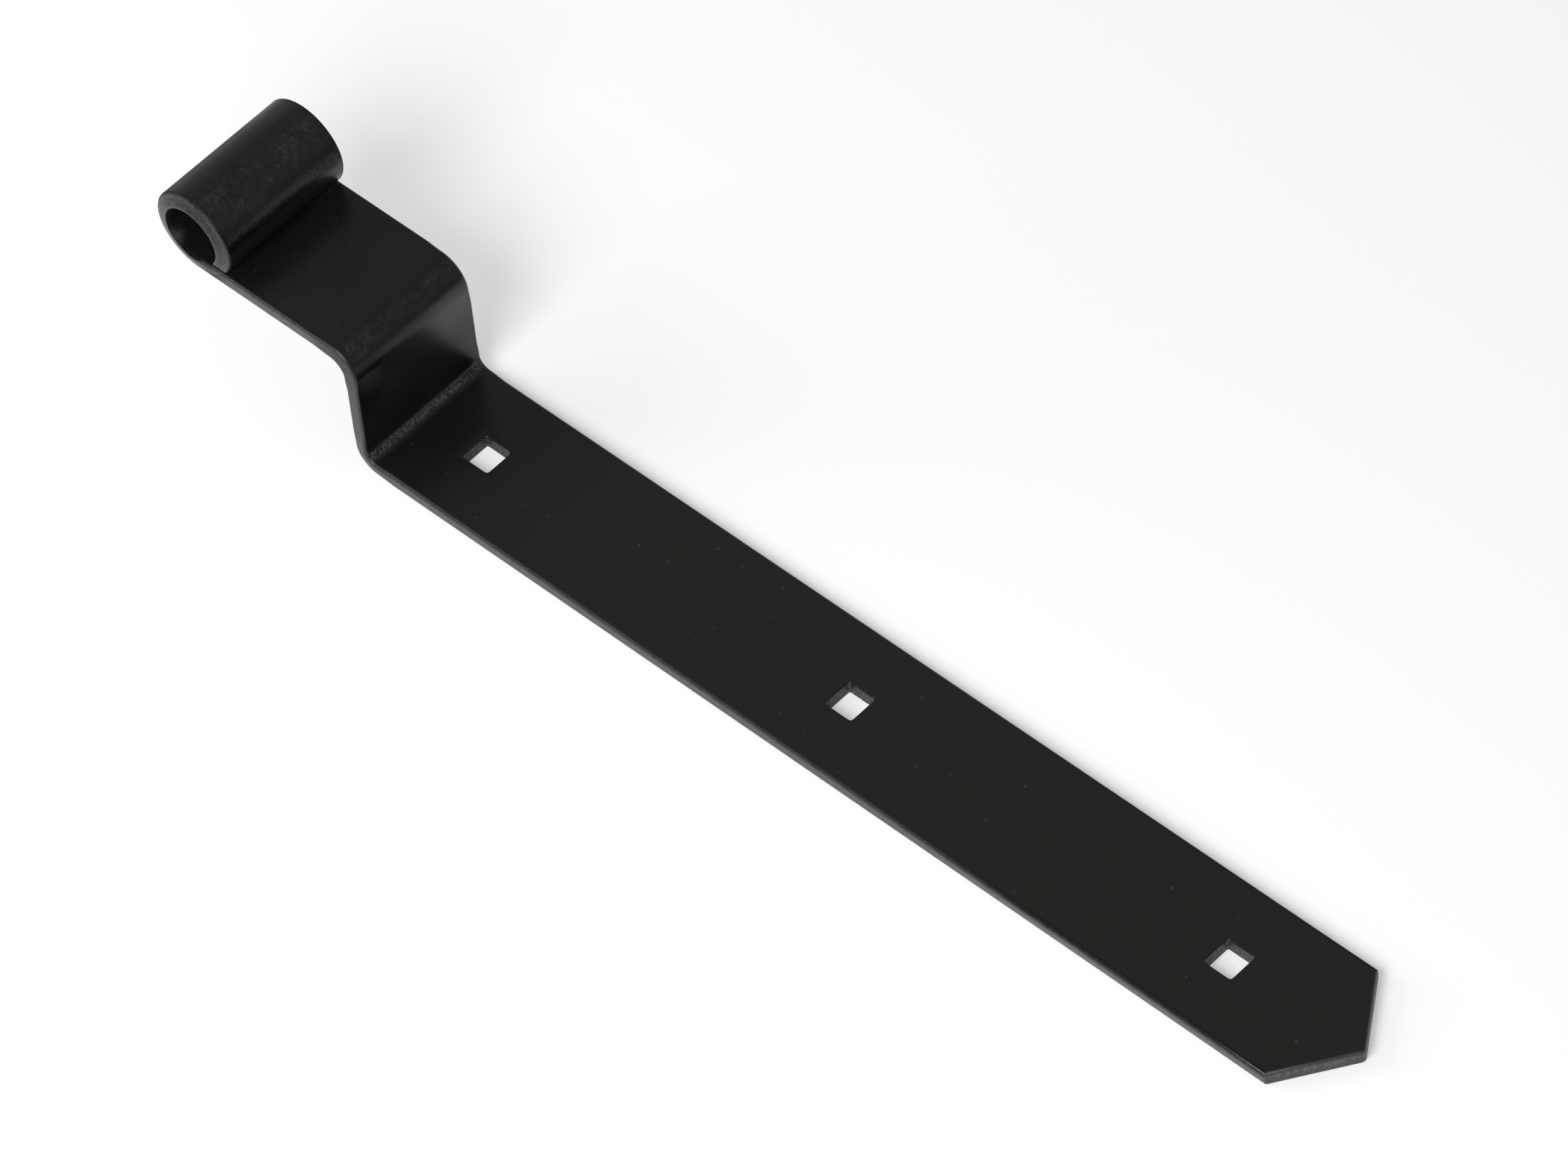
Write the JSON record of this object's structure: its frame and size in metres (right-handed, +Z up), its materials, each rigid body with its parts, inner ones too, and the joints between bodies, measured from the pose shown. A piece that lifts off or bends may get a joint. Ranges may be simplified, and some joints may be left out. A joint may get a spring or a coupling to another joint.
{
  "type": "cranked hinge band",
  "caption": "Flat bar gate hinge band: an eye rolled at one end for a hinge pin, a square crank, square bolt holes and a pointed tip.",
  "frame": {"origin": "middle of the eye's bore, on the pin's axis", "axes": "+X along the strap from the eye to the tip, +Y along the pin, +Z up, away from the fixing face"},
  "size_m": [0.4601, 0.0524, 0.0765],
  "materials": {
    "black_coat": "satin black powder coat over steel"
  },
  "bodies": {
    "root": {"cranked_band": "black_coat"}
  },
  "joints": []
}
